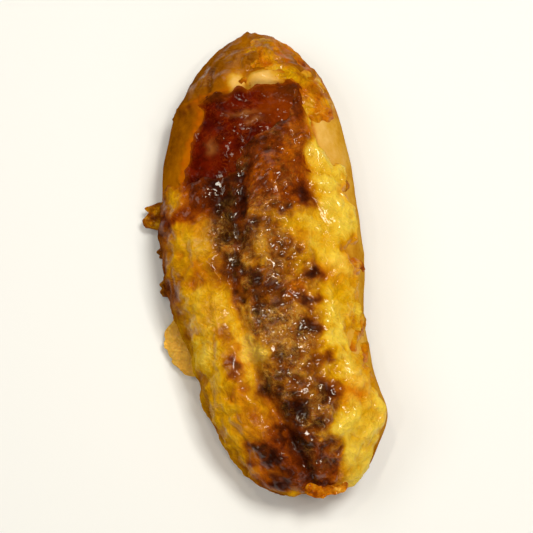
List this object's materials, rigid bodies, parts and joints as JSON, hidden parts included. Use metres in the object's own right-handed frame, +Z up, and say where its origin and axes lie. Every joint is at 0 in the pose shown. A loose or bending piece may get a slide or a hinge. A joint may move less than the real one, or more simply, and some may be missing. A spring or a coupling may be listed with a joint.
{
  "type": "pizza bread stick",
  "caption": "Baked bread stick with a raised dough lip at one end, tomato sauce below the lip and a browned blanket of melted cheese with crisp edges.",
  "frame": {"origin": "on the surface that the stick rests on, under the middle of its bounding box", "axes": "+Z up, +Y along the stick towards the dough lip, +X to the right with the lip away from the viewer"},
  "size_m": [0.0782, 0.1736, 0.0378],
  "materials": {
    "dough": "baked crust, golden to brown",
    "sauce": "wet and glossy",
    "cheese": "melted, oily, browned in spots"
  },
  "bodies": {
    "root": {"dough": "dough", "sauce": "sauce", "cheese": "cheese"}
  },
  "joints": []
}
